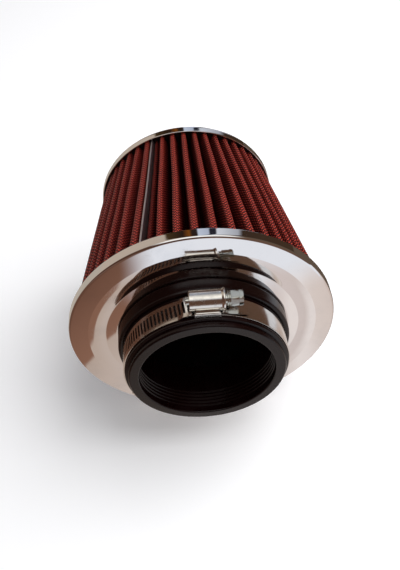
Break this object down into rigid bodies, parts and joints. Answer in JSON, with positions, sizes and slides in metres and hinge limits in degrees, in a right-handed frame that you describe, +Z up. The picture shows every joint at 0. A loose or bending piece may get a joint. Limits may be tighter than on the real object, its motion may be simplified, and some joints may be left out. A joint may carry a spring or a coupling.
{
  "type": "air filter",
  "caption": "Conical pleated air filter with polished end plates, a flexible rubber inlet neck and a worm-drive hose clamp.",
  "frame": {"origin": "centre of the inlet neck's mouth, where the intake pipe enters", "axes": "-Y out of the mouth along the filter's axis, +Y towards the cap, +Z up through the clamp's worm housing"},
  "size_m": [0.154, 0.152, 0.154],
  "materials": {
    "neck_rubber": "satin moulded rubber",
    "chrome_plate": "polished chrome plate on pressed steel",
    "potting_resin": "cast black polyurethane",
    "screen_wire": "fine woven wire, red coated",
    "red_gauze": "oiled red cotton gauze",
    "seam_metal": "satin folded strip",
    "cage_steel": "perforated zinc-plated sheet",
    "clamp_stainless": "bright stainless strip",
    "screw_steel": "bright plated screw"
  },
  "bodies": {
    "filter": {"rubber_neck": "neck_rubber", "base_flange": "chrome_plate", "base_potting": "potting_resin", "top_cap": "chrome_plate", "top_potting": "potting_resin", "outer_screen": "screen_wire", "pleated_gauze": "red_gauze", "inner_screen": "screen_wire", "seam_strip": "seam_metal", "inner_cage": "cage_steel"},
    "clamp": {"clamp_band": "clamp_stainless", "clamp_saddle": "clamp_stainless", "clamp_housing": "clamp_stainless"},
    "strip": {"clamp_band_tail": "clamp_stainless"},
    "screw": {"clamp_screw": "screw_steel"}
  },
  "joints": [
    {"name": "clamp_turn", "type": "hinge", "parent": "filter", "child": "clamp", "pos_m": [0, 0, 0], "axis": [0, 1, 0], "continuous": true},
    {"name": "screw_turn", "type": "hinge", "parent": "clamp", "child": "screw", "pos_m": [0, 0.0115, 0.05131], "axis": [-1, 0, 0], "range_deg": [-1080, 720]},
    {"name": "strip_feed", "type": "hinge", "parent": "clamp", "child": "strip", "pos_m": [0, 0, 0], "axis": [0, 1, 0], "range_deg": [-9.1, 6.1]}
  ],
  "couplings": [
    {"joint": "strip_feed", "follows": "screw_turn", "ratio": 0.0083333}
  ]
}
